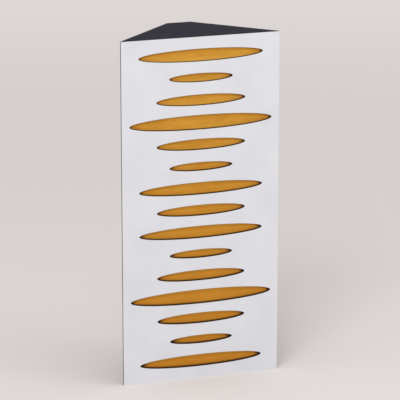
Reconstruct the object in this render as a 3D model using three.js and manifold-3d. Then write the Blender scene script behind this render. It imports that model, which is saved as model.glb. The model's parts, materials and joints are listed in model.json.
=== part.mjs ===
// A corner bass trap: wedges of mineral wool in a timber and plywood frame, wrapped in
// cloth, behind a slotted board. It hangs in, or stands in, a vertical corner of a room.
// Millimetres, +Z up. The board faces -Y and the cut-off rear corner faces +Y.
// The origin is under the middle of the bounding box, on the plane that the trap stands on.

import * as THREE from 'three';
import { mergeVertices } from 'three/addons/utils/BufferGeometryUtils.js';
import Module from 'manifold-3d';

const wasm = await Module();
wasm.setup();

// Clearance between neighbouring pieces
const FIT = 0.3;

// Overall
const HEIGHT = 1000;
const BOARD_WIDTH = 464;
const BOARD_THICKNESS = 6;
// Width of the flat that cuts off the rear corner
const CORNER_FLAT = 70;
// Angle between the board and each flank, because the walls of a room meet square
const FLANK_ANGLE = Math.PI / 4;

// Slots: level ellipses, one above another. The longest leave a rim at the board's edges,
// and the first and last lie an end distance from the board's ends, to their middle lines.
const SLOT_RIM = 23;
const SLOT_END = 52;
const LONG_SLOT_LENGTH = 364;
const MIDDLE_SLOT_LENGTH = 261;
const SHORT_SLOT_LENGTH = 186;
const LONGEST_SLOT_HEIGHT = 42;
const LONG_SLOT_HEIGHT = 36;
const MIDDLE_SLOT_HEIGHT = 31.5;
const SHORT_SLOT_HEIGHT = 25;

// Cloth and felt
const CLOTH_THICKNESS = 1.2;
const FELT_THICKNESS = 3;
// How far the felt reaches past the longest slots
const FELT_OVERLAP = 5;
// How far the end covers fold down behind the board
const COVER_FOLD = 16;

// Frame
const PLATE_THICKNESS = 12;
const FORMER_THICKNESS = 12;
const STILE_WIDTH = 58;
const STILE_DEPTH = 18;
const SPINE_DEPTH = 18;
const BAYS = 3;
const WEDGES_IN_BAY = 3;

// Blocks behind the flanks, for the hanging clips and the wall pads
const BLOCK_WIDTH = 90;
const BLOCK_HEIGHT = 70;
const BLOCK_DEPTH = 24;

// Hanging clips: a leg on the flank, and a tongue that stands off it and points down
const CLIP_SHEET = 2;
const CLIP_WIDTH = 60;
const CLIP_LEG = 30;
const CLIP_TONGUE = 16;
const CLIP_GAP = 2.6;
const CLIP_SCREW_SPACING = 36;
const PAD_DIAMETER = 30;

// Screws
const SCREW_DIAMETER = 4;
const SCREW_HEAD_DIAMETER = 8;
const SCREW_POINT = 4;
const SUNK_HEAD_DEPTH = 2.6;
const PAN_HEAD_HEIGHT = 2;
const FRAME_SCREW_LENGTH = 40;
const FORMER_SCREW_LENGTH = 32;
const CLIP_SCREW_LENGTH = 20;
// From the stile's inner edge to the screws that hold the formers
const FORMER_SCREW_INSET = 12;
// Board left whole in front of the screws that hold it, and how deep their heads lie
const BOARD_SKIN = 2;
const BOARD_SCREW_SINK = 3.8;

// How far a cutting tool runs out past the face that it opens
const RUN_OUT = 2;
const SLOT_FACETS = 48;
const ROUND_FACETS = 16;

// Depths, measured back from the board's face
const BODY_DEPTH = (BOARD_WIDTH - CORNER_FLAT) / 2 * Math.tan(FLANK_ANGLE);
const DEPTH = BOARD_THICKNESS + BODY_DEPTH;
const FACING_FRONT = BOARD_THICKNESS + FIT;
const CLOTH_BACK = FACING_FRONT + CLOTH_THICKNESS;
const FELT_BACK = FACING_FRONT + FELT_THICKNESS;
const FRAME_FRONT = CLOTH_BACK + FIT;
const REBATE_FLOOR = FELT_BACK + FIT;
const STILE_BACK = FRAME_FRONT + STILE_DEPTH;

// The frame lies inside the cloth
const FRAME_INSET = CLOTH_THICKNESS + FIT;
const SPINE_BACK = DEPTH - FRAME_INSET;
const SPINE_FRONT = SPINE_BACK - SPINE_DEPTH;

// Half widths
const FRAME_EDGE = halfWidth(FRAME_FRONT, FRAME_INSET);
const STILE_EDGE = FRAME_EDGE - STILE_WIDTH;
const SCREW_LINE = (STILE_EDGE + halfWidth(STILE_BACK, FRAME_INSET)) / 2;
const LONGEST_SLOT_LENGTH = BOARD_WIDTH - 2 * SLOT_RIM;
const FELT_EDGE = LONGEST_SLOT_LENGTH / 2 + FELT_OVERLAP;
const FOLD_EDGE = FELT_EDGE + FIT;

// Heights
const FRAME_BOTTOM = CLOTH_THICKNESS + FIT;
const FRAME_TOP = HEIGHT - FRAME_BOTTOM;
const BAYS_BOTTOM = FRAME_BOTTOM + PLATE_THICKNESS;
const BAYS_TOP = FRAME_TOP - PLATE_THICKNESS;
const BAY_HEIGHT = (BAYS_TOP - BAYS_BOTTOM - (BAYS - 1) * FORMER_THICKNESS) / BAYS;
const WEDGE_HEIGHT = (BAY_HEIGHT - (WEDGES_IN_BAY + 1) * FIT) / WEDGES_IN_BAY;
const HANGER_BLOCK_BOTTOM = BAYS_TOP - FIT - BLOCK_HEIGHT;
const PAD_BLOCK_BOTTOM = BAYS_BOTTOM + FIT;

// Distances out from a flank's cloth
const CLIP_FOOT = FIT;
const CLIP_FACE = CLIP_FOOT + CLIP_GAP + CLIP_SHEET;

const LONGEST_SLOT = [LONGEST_SLOT_LENGTH, LONGEST_SLOT_HEIGHT];
const LONG_SLOT = [LONG_SLOT_LENGTH, LONG_SLOT_HEIGHT];
const MIDDLE_SLOT = [MIDDLE_SLOT_LENGTH, MIDDLE_SLOT_HEIGHT];
const SHORT_SLOT = [SHORT_SLOT_LENGTH, SHORT_SLOT_HEIGHT];
const SLOT_GROUP = [LONG_SLOT, SHORT_SLOT, MIDDLE_SLOT, LONGEST_SLOT, MIDDLE_SLOT, SHORT_SLOT, LONG_SLOT];
// From the top down, the same group above and below one middle slot
const SLOTS = [...SLOT_GROUP, MIDDLE_SLOT, ...SLOT_GROUP];
const SLOT_PITCH = (HEIGHT - 2 * SLOT_END) / (SLOTS.length - 1);

const SIDES = [['left', -1], ['right', 1]];

const UP = new THREE.Vector3(0, 0, 1);
const DOWN = new THREE.Vector3(0, 0, -1);
const BACKWARD = new THREE.Vector3(0, 1, 0);
const FORWARD = new THREE.Vector3(0, -1, 0);

const FINISHES = {
  lacquer: { color: 0xe4e4ea, roughness: 0.45 },
  felt: { color: 0xc6862b, roughness: 1 },
  cloth: { color: 0x393842, roughness: 0.95 },
  lining: { color: 0x1d1e21, roughness: 1 },
  plywood: { color: 0xcaa673, roughness: 0.75 },
  softwood: { color: 0xd9b987, roughness: 0.75 },
  wool: { color: 0xa08b5a, roughness: 1 },
  steel: { color: 0xb9bcc0, roughness: 0.35, metalness: 1 },
  aluminium: { color: 0xc9cbce, roughness: 0.4, metalness: 1 },
  rubber: { color: 0x202124, roughness: 0.85 },
};

// Half the body's width at a depth, on a line that lies an inset inside its outer surface
function halfWidth(depth, inset = 0) {
  const narrowing = (depth - BOARD_THICKNESS) / Math.tan(FLANK_ANGLE);
  return BOARD_WIDTH / 2 - narrowing - inset / Math.sin(FLANK_ANGLE);
}

// The whole outline of a shape that is the same at both sides, from its right half
function bothSides(rightHalf) {
  const leftHalf = rightHalf.map(([x, depth]) => [-x, depth]).reverse();
  return [...rightHalf, ...leftHalf];
}

function shapeOf(outline) {
  return new THREE.Shape(outline.map(([x, y]) => new THREE.Vector2(x, y)));
}

// Height of a slot's middle line, counted down from the top one, which is 0
function slotLine(i) {
  return HEIGHT - SLOT_END - i * SLOT_PITCH;
}

// A closed mesh as a solid that can be joined and cut
function toSolid(geometry) {
  const bare = geometry.clone();
  bare.deleteAttribute('normal');
  bare.deleteAttribute('uv');
  const merged = mergeVertices(bare);
  const corners = merged.index.array;
  const kept = [];
  for (let i = 0; i < corners.length; i += 3) {
    const [a, b, c] = corners.slice(i, i + 3);
    if (a !== b && b !== c && c !== a) {
      kept.push(a, b, c);
    }
  }
  return new wasm.Manifold(new wasm.Mesh({
    numProp: 3,
    vertProperties: merged.attributes.position.array,
    triVerts: new Uint32Array(kept),
  }));
}

function toGeometry(solid) {
  const { vertProperties, triVerts } = solid.getMesh();
  const geometry = new THREE.BufferGeometry();
  geometry.setAttribute('position', new THREE.BufferAttribute(vertProperties, 3));
  geometry.setIndex(new THREE.BufferAttribute(triVerts, 1));
  geometry.computeVertexNormals();
  return geometry;
}

function cut(solid, cutters) {
  return cutters.reduce((left, cutter) => left.subtract(cutter), solid);
}

// A solid with an outline seen from above
function prism(outline, bottom, top) {
  const geometry = new THREE.ExtrudeGeometry(shapeOf(outline), { depth: top - bottom, bevelEnabled: false });
  return toSolid(geometry.translate(0, 0, bottom));
}

// A flat sheet that stands behind the board's face, with a shape seen from the front
function panel(shape, front, back, facets) {
  const settings = { depth: back - front, bevelEnabled: false, curveSegments: facets / 2 };
  const geometry = new THREE.ExtrudeGeometry(shape, settings);
  return toSolid(geometry.rotateX(Math.PI / 2).translate(0, back, 0));
}

function rectangle(halfSpan, bottom, top) {
  return shapeOf([[-halfSpan, bottom], [halfSpan, bottom], [halfSpan, top], [-halfSpan, top]]);
}

// A round solid about Z from its profile of radius and height, which starts and ends on the axis
function turned(profile) {
  const points = profile.map(([radius, height]) => new THREE.Vector2(radius, height));
  return new THREE.LatheGeometry(points, ROUND_FACETS).rotateX(Math.PI / 2);
}

// A screw lies along its own +Z, with the top of its head at the origin.
// Its hole has the same profile with room all round, and runs out over the head.
function sunkHeadProfile(length, room = 0, runOut = 0) {
  const head = SCREW_HEAD_DIAMETER / 2 + room;
  const shank = SCREW_DIAMETER / 2 + room;
  const mouth = runOut > 0 ? [[0, -runOut], [head, -runOut]] : [[0, 0]];
  return [
    ...mouth,
    [head, 0],
    [shank, SUNK_HEAD_DEPTH],
    [shank, length - SCREW_POINT],
    [0, length + room],
  ];
}

function panHeadProfile(length, room = 0) {
  const head = SCREW_HEAD_DIAMETER / 2 + room;
  const shank = SCREW_DIAMETER / 2 + room;
  const end = PAN_HEAD_HEIGHT + length;
  return [
    [0, -room],
    [head - PAN_HEAD_HEIGHT / 2, -room],
    [head, PAN_HEAD_HEIGHT / 2],
    [head, PAN_HEAD_HEIGHT],
    [shank, PAN_HEAD_HEIGHT],
    [shank, end - SCREW_POINT],
    [0, end + room],
  ];
}

function screwMatrix(x, depth, height, direction) {
  const turn = new THREE.Quaternion().setFromUnitVectors(UP, direction);
  return new THREE.Matrix4().compose(new THREE.Vector3(x, depth, height), turn, new THREE.Vector3(1, 1, 1));
}

function sunkScrew(name, length, matrix, runOut = RUN_OUT) {
  const hole = turned(sunkHeadProfile(length, FIT, runOut)).applyMatrix4(matrix);
  return { name, matrix, geometry: turned(sunkHeadProfile(length)), hole: toSolid(hole) };
}

function panScrew(name, length, matrix) {
  const hole = turned(panHeadProfile(length, FIT)).applyMatrix4(matrix);
  return { name, matrix, geometry: turned(panHeadProfile(length)), hole: toSolid(hole) };
}

function holesOf(...groups) {
  return groups.flat().map((screw) => screw.hole);
}

// Places things on a flank: X runs along it, Y points out of it and Z is up, from its middle
function flankMatrix(side) {
  const middle = new THREE.Vector3(
    side * (halfWidth(BOARD_THICKNESS) + CORNER_FLAT / 2) / 2,
    (BOARD_THICKNESS + DEPTH) / 2,
    0,
  );
  const turn = new THREE.Quaternion().setFromAxisAngle(UP, -side * FLANK_ANGLE);
  return new THREE.Matrix4().compose(middle, turn, new THREE.Vector3(1, 1, 1));
}

function onFlank(side, x, out, height, direction) {
  const matrix = flankMatrix(side);
  const place = new THREE.Vector3(x, out, height).applyMatrix4(matrix);
  return screwMatrix(place.x, place.y, place.z, direction.clone().transformDirection(matrix));
}

const formerBottoms = Array.from(
  { length: BAYS - 1 },
  (_, i) => BAYS_BOTTOM + BAY_HEIGHT + i * (BAY_HEIGHT + FORMER_THICKNESS),
);

// Board screws go in from the stiles' backs, under the wool, so none shows on the face.
// A pair stands half-way between each long slot and the short one next to it.
const boardScrewHead = STILE_BACK - BOARD_SCREW_SINK;
const screwedBetween = [LONG_SLOT, SHORT_SLOT];
const boardScrewLines = SLOTS.slice(1)
  .map((lower, i) => ({ upper: SLOTS[i], lower, line: (slotLine(i) + slotLine(i + 1)) / 2 }))
  .filter(({ upper, lower }) => screwedBetween.includes(upper) && screwedBetween.includes(lower))
  .map(({ line }) => line);
const boardScrews = SIDES.flatMap(([side, sign]) => boardScrewLines.map((line, i) => {
  const matrix = screwMatrix(sign * SCREW_LINE, boardScrewHead, line, FORWARD);
  const runOut = BOARD_SCREW_SINK + RUN_OUT;
  return sunkScrew(`board_screw_${side}_${i + 1}`, boardScrewHead - BOARD_SKIN, matrix, runOut);
}));

// End plates are screwed to the ends of the two stiles and of the spine
function plateScrews(end, height, direction) {
  const stileMiddle = (REBATE_FLOOR + STILE_BACK) / 2;
  const spineMiddle = (SPINE_FRONT + SPINE_BACK) / 2;
  const places = [
    ['left', -SCREW_LINE, stileMiddle],
    ['right', SCREW_LINE, stileMiddle],
    ['rear', 0, spineMiddle],
  ];
  return places.map(([where, x, depth]) => {
    const matrix = screwMatrix(x, depth, height, direction);
    return sunkScrew(`plate_screw_${end}_${where}`, FRAME_SCREW_LENGTH, matrix);
  });
}

const topPlateScrews = plateScrews('top', FRAME_TOP, DOWN);
const bottomPlateScrews = plateScrews('bottom', FRAME_BOTTOM, UP);

// Each former is screwed through both stiles from the front and through the spine from behind
const formerScrews = formerBottoms.flatMap((bottom, i) => {
  const height = bottom + FORMER_THICKNESS / 2;
  const line = STILE_EDGE + FORMER_SCREW_INSET;
  const fromFront = SIDES.map(([side, sign]) => sunkScrew(
    `former_screw_${i + 1}_${side}`,
    FORMER_SCREW_LENGTH,
    screwMatrix(sign * line, REBATE_FLOOR, height, BACKWARD),
  ));
  const fromBehind = sunkScrew(
    `former_screw_${i + 1}_rear`,
    FRAME_SCREW_LENGTH,
    screwMatrix(0, SPINE_BACK, height, FORWARD),
  );
  return [...fromFront, fromBehind];
});

const blockMiddle = -FRAME_INSET - BLOCK_DEPTH / 2;
const hangerBlockScrews = SIDES.map(([side, sign]) => sunkScrew(
  `block_screw_top_${side}`,
  FRAME_SCREW_LENGTH,
  onFlank(sign, 0, blockMiddle, FRAME_TOP, DOWN),
));
const padBlockScrews = SIDES.map(([side, sign]) => sunkScrew(
  `block_screw_bottom_${side}`,
  FRAME_SCREW_LENGTH,
  onFlank(sign, 0, blockMiddle, FRAME_BOTTOM, UP),
));

// Clip screws stand on the clips' legs, with their heads below the plane of the tongues
const clipMiddle = HANGER_BLOCK_BOTTOM + BLOCK_HEIGHT / 2;
const clipScrews = SIDES.flatMap(([side, sign]) => [-1, 1].map((along, i) => {
  const headTop = CLIP_FOOT + CLIP_SHEET + FIT + PAN_HEAD_HEIGHT;
  const x = along * CLIP_SCREW_SPACING / 2;
  return panScrew(`clip_screw_${side}_${i + 1}`, CLIP_SCREW_LENGTH, onFlank(sign, x, headTop, clipMiddle, FORWARD));
}));

const materials = Object.fromEntries(Object.entries(FINISHES).map(
  ([name, finish]) => [name, new THREE.MeshStandardMaterial({ metalness: 0, ...finish })],
));

// Depths are counted from the board's face, and the whole trap is then centred
const trap = new THREE.Group();
trap.position.y = -DEPTH / 2;

function addPiece(name, geometry, finish, matrix = new THREE.Matrix4()) {
  const mesh = new THREE.Mesh(geometry, materials[finish].clone());
  mesh.name = name;
  mesh.applyMatrix4(matrix);
  trap.add(mesh);
}

function addSolid(name, solid, finish, matrix) {
  addPiece(name, toGeometry(solid), finish, matrix);
}

function frontBoard() {
  const face = rectangle(BOARD_WIDTH / 2, 0, HEIGHT);
  SLOTS.forEach(([length, height], i) => {
    const slot = new THREE.Path();
    slot.absellipse(0, slotLine(i), length / 2, height / 2, 0, 2 * Math.PI);
    face.holes.push(slot);
  });
  return cut(panel(face, 0, BOARD_THICKNESS, SLOT_FACETS), holesOf(boardScrews));
}

function feltFacing() {
  const edge = COVER_FOLD + FIT;
  const sheet = panel(rectangle(FELT_EDGE, edge, HEIGHT - edge), FACING_FRONT, FELT_BACK, SLOT_FACETS);
  return cut(sheet, holesOf(boardScrews));
}

// One sheet of cloth from the front fold at one side, round both flanks, to the other fold
function sideWrap() {
  const outside = [
    [FOLD_EDGE, FACING_FRONT],
    [halfWidth(FACING_FRONT), FACING_FRONT],
    [CORNER_FLAT / 2, DEPTH],
  ];
  const inside = [
    [halfWidth(DEPTH - CLOTH_THICKNESS, CLOTH_THICKNESS), DEPTH - CLOTH_THICKNESS],
    [halfWidth(CLOTH_BACK, CLOTH_THICKNESS), CLOTH_BACK],
    [FOLD_EDGE, CLOTH_BACK],
  ];
  const leftOf = (points) => points.map(([x, depth]) => [-x, depth]).reverse();
  const outline = [...outside, ...leftOf(outside), ...leftOf(inside), ...inside];
  return cut(prism(outline, FRAME_BOTTOM, FRAME_TOP), holesOf(clipScrews));
}

// A cover lies over one end, on the wrap's edge, and folds over behind the board
function endCover(bottom, foldBottom, foldTop) {
  const outline = bothSides([[halfWidth(FACING_FRONT), FACING_FRONT], [CORNER_FLAT / 2, DEPTH]]);
  const fold = panel(rectangle(FELT_EDGE, foldBottom, foldTop), FACING_FRONT, CLOTH_BACK, SLOT_FACETS);
  return prism(outline, bottom, bottom + CLOTH_THICKNESS).add(fold);
}

function endPlate(bottom, screws) {
  const outline = bothSides([[FRAME_EDGE, FRAME_FRONT], [halfWidth(SPINE_BACK, FRAME_INSET), SPINE_BACK]]);
  return cut(prism(outline, bottom, bottom + PLATE_THICKNESS), holesOf(screws));
}

// Bevelled along the flank, and rebated at the front for the felt
function stile(sign) {
  const outline = [
    [STILE_EDGE, REBATE_FLOOR],
    [FOLD_EDGE, REBATE_FLOOR],
    [FOLD_EDGE, FRAME_FRONT],
    [FRAME_EDGE, FRAME_FRONT],
    [halfWidth(STILE_BACK, FRAME_INSET), STILE_BACK],
    [STILE_EDGE, STILE_BACK],
  ].map(([x, depth]) => [sign * x, depth]);
  const solid = prism(outline, BAYS_BOTTOM + FIT, BAYS_TOP - FIT);
  return cut(solid, holesOf(boardScrews, topPlateScrews, bottomPlateScrews, formerScrews));
}

function rearSpine() {
  const outline = bothSides([
    [halfWidth(SPINE_FRONT, FRAME_INSET), SPINE_FRONT],
    [halfWidth(SPINE_BACK, FRAME_INSET), SPINE_BACK],
  ]);
  const solid = prism(outline, BAYS_BOTTOM + FIT, BAYS_TOP - FIT);
  return cut(solid, holesOf(topPlateScrews, bottomPlateScrews, formerScrews));
}

// Formers and wool fill the space between the felt, the stiles, the flanks and the spine
const fillOutline = bothSides([
  [STILE_EDGE - FIT, REBATE_FLOOR],
  [STILE_EDGE - FIT, STILE_BACK + FIT],
  [halfWidth(STILE_BACK + FIT, FRAME_INSET), STILE_BACK + FIT],
  [halfWidth(SPINE_FRONT - FIT, FRAME_INSET), SPINE_FRONT - FIT],
]);

// A block, or with room the space that the wool leaves for it, about the middle of its flank
function flankBlock(bottom, room = 0) {
  const halfSpan = BLOCK_WIDTH / 2 + room;
  const inner = -FRAME_INSET - BLOCK_DEPTH - room;
  const outer = -FRAME_INSET + room;
  const outline = [[-halfSpan, inner], [halfSpan, inner], [halfSpan, outer], [-halfSpan, outer]];
  return prism(outline, bottom - room, bottom + BLOCK_HEIGHT + room);
}

function blockSpaces() {
  return SIDES.flatMap(([, sign]) => [HANGER_BLOCK_BOTTOM, PAD_BLOCK_BOTTOM].map((bottom) => {
    const space = toGeometry(flankBlock(bottom, FIT)).applyMatrix4(flankMatrix(sign));
    return toSolid(space);
  }));
}

// The holes are drilled where the screws are, so they are brought into the block's own place
function drilledBlock(sign, bottom, screws) {
  const solid = toSolid(toGeometry(flankBlock(bottom)).applyMatrix4(flankMatrix(sign)));
  return cut(solid, holesOf(screws));
}

// Seen from its end, from the top of the leg down to the tip of the tongue
function hangingClip(sign) {
  const legTop = clipMiddle + CLIP_LEG / 2;
  const legBottom = clipMiddle - CLIP_LEG / 2;
  const legFace = CLIP_FOOT + CLIP_SHEET;
  const tongueBack = CLIP_FACE - CLIP_SHEET;
  const bendBottom = legBottom - CLIP_GAP;
  const ease = CLIP_SHEET * Math.tan(Math.PI / 8);
  const tip = bendBottom - CLIP_TONGUE;
  const outline = [
    [CLIP_FOOT, legTop],
    [CLIP_FOOT, legBottom - ease],
    [tongueBack, bendBottom - ease],
    [tongueBack, tip],
    [CLIP_FACE, tip],
    [CLIP_FACE, bendBottom],
    [legFace, legBottom],
    [legFace, legTop],
  ];
  const geometry = new THREE.ExtrudeGeometry(shapeOf(outline), { depth: CLIP_WIDTH, bevelEnabled: false });
  geometry.translate(0, 0, -CLIP_WIDTH / 2);
  geometry.rotateX(Math.PI / 2).rotateZ(Math.PI / 2);
  return cut(toSolid(geometry.applyMatrix4(flankMatrix(sign))), holesOf(clipScrews));
}

// A disc as thick as the clips stand proud, so that the trap hangs plumb
function addWallPad(side, sign) {
  const thickness = CLIP_FACE - CLIP_FOOT;
  const disc = new THREE.CylinderGeometry(PAD_DIAMETER / 2, PAD_DIAMETER / 2, thickness, 2 * ROUND_FACETS);
  disc.translate(0, CLIP_FOOT + thickness / 2, PAD_BLOCK_BOTTOM + BLOCK_HEIGHT / 2);
  addSolid(`${side}_wall_pad`, toSolid(disc), 'rubber', flankMatrix(sign));
}

addSolid('front_board', frontBoard(), 'lacquer');
addSolid('felt_facing', feltFacing(), 'felt');
addSolid('side_wrap', sideWrap(), 'cloth');
addSolid('top_cover', endCover(HEIGHT - CLOTH_THICKNESS, HEIGHT - COVER_FOLD, HEIGHT), 'cloth');
addSolid('bottom_cover', endCover(0, 0, COVER_FOLD), 'lining');
addSolid('top_plate', endPlate(BAYS_TOP, [...topPlateScrews, ...hangerBlockScrews]), 'plywood');
addSolid('bottom_plate', endPlate(FRAME_BOTTOM, [...bottomPlateScrews, ...padBlockScrews]), 'plywood');
addSolid('rear_spine', rearSpine(), 'softwood');

for (const [side, sign] of SIDES) {
  addSolid(`${side}_stile`, stile(sign), 'softwood');
  addSolid(
    `${side}_hanger_block`,
    drilledBlock(sign, HANGER_BLOCK_BOTTOM, [...hangerBlockScrews, ...clipScrews]),
    'softwood',
  );
  addSolid(`${side}_pad_block`, drilledBlock(sign, PAD_BLOCK_BOTTOM, padBlockScrews), 'softwood');
  addSolid(`${side}_hanging_clip`, hangingClip(sign), 'aluminium');
  addWallPad(side, sign);
}

formerBottoms.forEach((bottom, i) => {
  const former = prism(fillOutline, bottom, bottom + FORMER_THICKNESS);
  addSolid(`former_${i + 1}`, cut(former, holesOf(formerScrews)), 'plywood');
});

const spaces = blockSpaces();
for (let bay = 0; bay < BAYS; bay += 1) {
  const bayBottom = BAYS_BOTTOM + bay * (BAY_HEIGHT + FORMER_THICKNESS);
  for (let layer = 0; layer < WEDGES_IN_BAY; layer += 1) {
    const bottom = bayBottom + FIT + layer * (WEDGE_HEIGHT + FIT);
    const wedge = cut(prism(fillOutline, bottom, bottom + WEDGE_HEIGHT), spaces);
    addSolid(`wool_wedge_${bay * WEDGES_IN_BAY + layer + 1}`, wedge, 'wool');
  }
}

const screws = [
  ...boardScrews,
  ...topPlateScrews,
  ...bottomPlateScrews,
  ...formerScrews,
  ...hangerBlockScrews,
  ...padBlockScrews,
  ...clipScrews,
];
for (const screw of screws) {
  addPiece(screw.name, screw.geometry, 'steel', screw.matrix);
}

export default trap;
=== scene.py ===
"""The looks of a corner bass trap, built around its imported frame. Metres, +Z up, board towards -Y.

In a finish, a field that ends in cells says how many cells of noise a metre holds.
"""

import json
import logging
import math
from collections.abc import Sequence
from dataclasses import dataclass, field
from enum import Enum

import bmesh
import bpy
import numpy as np
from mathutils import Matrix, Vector


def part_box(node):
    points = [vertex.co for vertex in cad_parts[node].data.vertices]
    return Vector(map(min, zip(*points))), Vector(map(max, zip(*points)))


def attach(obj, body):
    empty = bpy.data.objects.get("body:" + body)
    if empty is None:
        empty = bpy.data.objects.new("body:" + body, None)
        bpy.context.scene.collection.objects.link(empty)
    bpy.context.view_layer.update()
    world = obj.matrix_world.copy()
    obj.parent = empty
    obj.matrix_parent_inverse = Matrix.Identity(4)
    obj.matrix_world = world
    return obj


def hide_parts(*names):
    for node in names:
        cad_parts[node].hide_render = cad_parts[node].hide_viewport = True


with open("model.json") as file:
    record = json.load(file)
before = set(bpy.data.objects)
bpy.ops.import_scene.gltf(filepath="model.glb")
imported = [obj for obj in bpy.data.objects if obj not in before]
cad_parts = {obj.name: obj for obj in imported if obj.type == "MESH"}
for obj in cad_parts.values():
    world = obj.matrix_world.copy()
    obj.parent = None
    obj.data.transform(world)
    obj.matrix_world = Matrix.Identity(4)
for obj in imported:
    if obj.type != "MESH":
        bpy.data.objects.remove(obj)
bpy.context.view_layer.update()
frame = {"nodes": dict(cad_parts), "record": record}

LOG = logging.getLogger("bass_trap")
MM = 0.001
MERGED = 0.001 * MM

Pair = tuple[float, float]
Triple = tuple[float, float, float]
Colour = Triple
Array = np.ndarray


class SlotSize(Enum):
    """Length and height of each kind of slot. The board's width sets the longest one's length."""

    LONGEST = (None, 0.042)
    LONG = (0.364, 0.036)
    MIDDLE = (0.261, 0.0315)
    SHORT = (0.186, 0.025)


class Side(Enum):
    """The trap's two sides, seen by someone who faces the board."""

    LEFT = -1
    RIGHT = 1

    @property
    def word(self) -> str:
        """The side's name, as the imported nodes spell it."""
        return self.name.lower()


class GrainAxis(Enum):
    """The way that the fibres of a piece of wood run."""

    ACROSS = "X"
    UPRIGHT = "Z"


class Signal:
    """A node's output that can stand in arithmetic, which adds Math nodes."""

    def __init__(self, shader: "Shader", socket: bpy.types.NodeSocket) -> None:
        """Keeps the shader that the node belongs to, and its socket."""
        self.shader = shader
        self.socket = socket

    def _math(self, operation: str, *values: "Signal | float") -> "Signal":
        """Adds a Math node on the values."""
        return self.shader.add("ShaderNodeMath", {"operation": operation}, dict(enumerate(values)))

    def __add__(self, other: "Signal | float") -> "Signal":
        """This signal plus another."""
        return self._math("ADD", self, other)

    def __sub__(self, other: "Signal | float") -> "Signal":
        """This signal less another."""
        return self._math("SUBTRACT", self, other)

    def __rsub__(self, other: float) -> "Signal":
        """A number less this signal."""
        return self._math("SUBTRACT", other, self)

    def __mul__(self, other: "Signal | float") -> "Signal":
        """This signal times another."""
        return self._math("MULTIPLY", self, other)

    def __truediv__(self, other: "Signal | float") -> "Signal":
        """This signal over another."""
        return self._math("DIVIDE", self, other)

    __radd__ = __add__
    __rmul__ = __mul__

    def sine(self) -> "Signal":
        """The sine of this signal, in radians."""
        return self._math("SINE", self)

    def power(self, exponent: float) -> "Signal":
        """This signal raised to a power."""
        return self._math("POWER", self, exponent)

    def maximum(self, other: "Signal | float") -> "Signal":
        """The larger of this signal and another."""
        return self._math("MAXIMUM", self, other)

    def length_with(self, other: "Signal") -> "Signal":
        """The length of an arrow with this signal and another as its parts."""
        return (self * self + other * other).power(0.5)

    def wrapped(self, half: float) -> "Signal":
        """This signal brought within half a step of zero by whole steps."""
        return self._math("WRAP", self, half, -half)

    def between(self, low: "Signal | float", high: "Signal | float") -> "Signal":
        """A smooth mask, 0 at low and 1 at high."""
        limits = {"Value": self, "From Min": low, "From Max": high}
        return self.shader.add("ShaderNodeMapRange", {"interpolation_type": "SMOOTHSTEP"}, limits)

    def spread(self, first: float, last: float) -> "Signal":
        """The value that is first where this mask is 0 and last where it is 1."""
        return self * (last - first) + first


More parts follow.
